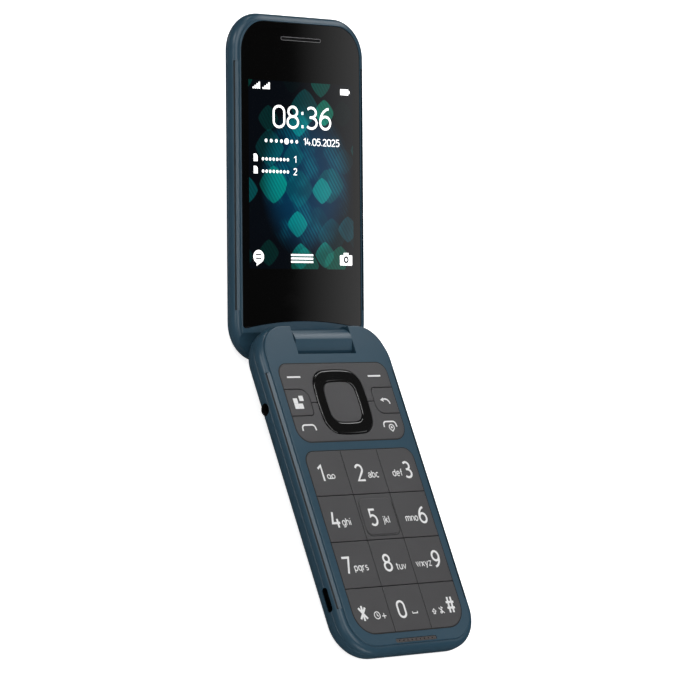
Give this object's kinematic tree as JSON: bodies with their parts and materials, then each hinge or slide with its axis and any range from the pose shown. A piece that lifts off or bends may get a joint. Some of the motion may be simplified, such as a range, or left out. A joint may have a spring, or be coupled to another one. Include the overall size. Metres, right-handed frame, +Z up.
{
  "type": "flip phone",
  "caption": "Clamshell mobile phone standing open: keypad half and screen half on one friction hinge, with working keys, navigation ring, volume rocker, back cover and sockets.",
  "frame": {"origin": "centre of the bounding box, on the surface the phone stands on", "axes": "+X to the right of someone using the phone, +Y from the near end towards the hinge and the raised screen half, +Z up"},
  "size_m": [0.0554, 0.1952, 0.0522],
  "materials": {
    "blue_housing": "satin petrol blue",
    "grey_keys": "satin dark grey",
    "black_ring": "polished black",
    "black_glass": "clear, with a black printed border",
    "display": "colour display, dark when off",
    "steel": "bare steel",
    "fine_mesh": "dark woven mesh",
    "black_plastic": "moulded black",
    "board": "green solder mask",
    "flex": "amber polyimide film",
    "silicone": "milky silicone",
    "dome_film": "film with metal domes",
    "battery_can": "dark wrapped can",
    "card": "white card",
    "flash_lens": "yellowish lens over the lamp"
  },
  "bodies": {
    "base": {"base_front_housing": "blue_housing", "base_rear_housing": "blue_housing", "rf_shields": "steel", "card_holders": "steel", "hinge_drive_shaft": "steel", "vibration_motor": "steel", "base_screws": "steel", "usb_socket": "steel", "audio_jack_socket": "black_plastic", "loudspeaker": "black_plastic", "hinge_bush": "black_plastic", "battery_contacts": "black_plastic", "microphone": "black_plastic", "mic_grille": "black_plastic", "memory_card": "black_plastic", "main_board": "board", "base_flex_tail": "flex", "keypad_mat": "silicone", "dome_sheet": "dome_film", "battery": "battery_can", "sim_cards": "card"},
    "lid": {"lid_inner_frame": "blue_housing", "lid_outer_shell": "blue_housing", "screen_glass": "black_glass", "display_panel": "display", "earpiece_speaker": "black_plastic", "earpiece_mesh": "fine_mesh", "lid_board": "board", "outer_window": "black_glass", "outer_display": "display", "camera_module": "black_plastic", "flash_led": "flash_lens", "lid_flex_tail": "flex", "lid_screws": "steel", "hinge_can": "steel", "hinge_cam_follower": "steel", "hinge_spring": "steel", "hinge_flex_roll": "flex"},
    "back_cover": {"back_cover": "blue_housing"},
    "motor_weight": {"motor_weight": "steel"},
    "volume_rocker": {"volume_rocker": "blue_housing"},
    "nav_gimbal": {"nav_gimbal": "black_plastic"},
    "nav_ring": {"nav_ring": "black_ring"},
    "ok_key": {"ok_key": "grey_keys"},
    "soft_key_bar": {"soft_key_bar": "grey_keys"},
    "call_end_bar": {"call_end_bar": "grey_keys"},
    "shortcut_key": {"shortcut_key": "grey_keys"},
    "back_key": {"back_key": "grey_keys"},
    "key_1": {"key_1": "grey_keys"},
    "key_2": {"key_2": "grey_keys"},
    "key_3": {"key_3": "grey_keys"},
    "key_4": {"key_4": "grey_keys"},
    "key_5": {"key_5": "grey_keys"},
    "key_6": {"key_6": "grey_keys"},
    "key_7": {"key_7": "grey_keys"},
    "key_8": {"key_8": "grey_keys"},
    "key_9": {"key_9": "grey_keys"},
    "key_star": {"key_star": "grey_keys"},
    "key_0": {"key_0": "grey_keys"},
    "key_hash": {"key_hash": "grey_keys"}
  },
  "joints": [
    {"name": "flip_lid", "type": "hinge", "parent": "base", "child": "lid", "pos_m": [-0.0002, 0.00374, 0.0106], "axis": [1, 0, 0], "range_deg": [0, 155.75]},
    {"name": "back_cover_slide", "type": "slide", "parent": "base", "child": "back_cover", "axis": [0, -0.9982, -0.0596], "range_m": [0, 0.005]},
    {"name": "press_1", "type": "slide", "parent": "base", "child": "key_1", "axis": [0, 0.0596, -0.9982], "range_m": [0, 0.00035], "stiffness_N_per_m": 40, "springref_m": -0.0005},
    {"name": "press_2", "type": "slide", "parent": "base", "child": "key_2", "axis": [0, 0.0596, -0.9982], "range_m": [0, 0.00035], "stiffness_N_per_m": 40, "springref_m": -0.0005},
    {"name": "press_3", "type": "slide", "parent": "base", "child": "key_3", "axis": [0, 0.0596, -0.9982], "range_m": [0, 0.00035], "stiffness_N_per_m": 40, "springref_m": -0.0005},
    {"name": "press_4", "type": "slide", "parent": "base", "child": "key_4", "axis": [0, 0.0596, -0.9982], "range_m": [0, 0.00035], "stiffness_N_per_m": 40, "springref_m": -0.0005},
    {"name": "press_5", "type": "slide", "parent": "base", "child": "key_5", "axis": [0, 0.0596, -0.9982], "range_m": [0, 0.00035], "stiffness_N_per_m": 40, "springref_m": -0.0005},
    {"name": "press_6", "type": "slide", "parent": "base", "child": "key_6", "axis": [0, 0.0596, -0.9982], "range_m": [0, 0.00035], "stiffness_N_per_m": 40, "springref_m": -0.0005},
    {"name": "press_7", "type": "slide", "parent": "base", "child": "key_7", "axis": [0, 0.0596, -0.9982], "range_m": [0, 0.00035], "stiffness_N_per_m": 40, "springref_m": -0.0005},
    {"name": "press_8", "type": "slide", "parent": "base", "child": "key_8", "axis": [0, 0.0596, -0.9982], "range_m": [0, 0.00035], "stiffness_N_per_m": 40, "springref_m": -0.0005},
    {"name": "press_9", "type": "slide", "parent": "base", "child": "key_9", "axis": [0, 0.0596, -0.9982], "range_m": [0, 0.00035], "stiffness_N_per_m": 40, "springref_m": -0.0005},
    {"name": "press_star", "type": "slide", "parent": "base", "child": "key_star", "axis": [0, 0.0596, -0.9982], "range_m": [0, 0.00035], "stiffness_N_per_m": 40, "springref_m": -0.0005},
    {"name": "press_0", "type": "slide", "parent": "base", "child": "key_0", "axis": [0, 0.0596, -0.9982], "range_m": [0, 0.00035], "stiffness_N_per_m": 40, "springref_m": -0.0005},
    {"name": "press_hash", "type": "slide", "parent": "base", "child": "key_hash", "axis": [0, 0.0596, -0.9982], "range_m": [0, 0.00035], "stiffness_N_per_m": 40, "springref_m": -0.0005},
    {"name": "press_shortcut", "type": "slide", "parent": "base", "child": "shortcut_key", "axis": [0, 0.0596, -0.9982], "range_m": [0, 0.00035], "stiffness_N_per_m": 40, "springref_m": -0.0005},
    {"name": "press_back", "type": "slide", "parent": "base", "child": "back_key", "axis": [0, 0.0596, -0.9982], "range_m": [0, 0.00035], "stiffness_N_per_m": 40, "springref_m": -0.0005},
    {"name": "press_ok", "type": "slide", "parent": "base", "child": "ok_key", "axis": [0, 0.0596, -0.9982], "range_m": [0, 0.00035], "stiffness_N_per_m": 40, "springref_m": -0.0005},
    {"name": "nav_tilt_side", "type": "hinge", "parent": "base", "child": "nav_gimbal", "pos_m": [-0.0002, -0.01761, 0.01253], "axis": [0, 0.9982, 0.0596], "range_deg": [-1.5, 1.5], "stiffness_Nm_per_rad": 0.0006},
    {"name": "nav_tilt_fore", "type": "hinge", "parent": "nav_gimbal", "child": "nav_ring", "pos_m": [-0.0002, -0.01761, 0.01253], "axis": [1, 0, 0], "range_deg": [-1.5, 1.5], "stiffness_Nm_per_rad": 0.0006},
    {"name": "soft_key_tilt", "type": "hinge", "parent": "base", "child": "soft_key_bar", "pos_m": [-0.0002, -0.01121, 0.01306], "axis": [0, 0.9982, 0.0596], "range_deg": [-1, 1], "stiffness_Nm_per_rad": 0.0006},
    {"name": "call_end_tilt", "type": "hinge", "parent": "base", "child": "call_end_bar", "pos_m": [-0.0002, -0.02396, 0.0123], "axis": [0, 0.9982, 0.0596], "range_deg": [-1, 1], "stiffness_Nm_per_rad": 0.0006},
    {"name": "volume_tilt", "type": "hinge", "parent": "base", "child": "volume_rocker", "pos_m": [0.0263, -0.03539, 0.00821], "axis": [0, -0.0596, 0.9982], "range_deg": [-1, 1], "stiffness_Nm_per_rad": 0.0006},
    {"name": "motor_spin", "type": "hinge", "parent": "base", "child": "motor_weight", "pos_m": [-0.0002, -0.00578, 0.00907], "axis": [1, 0, 0], "continuous": true}
  ]
}
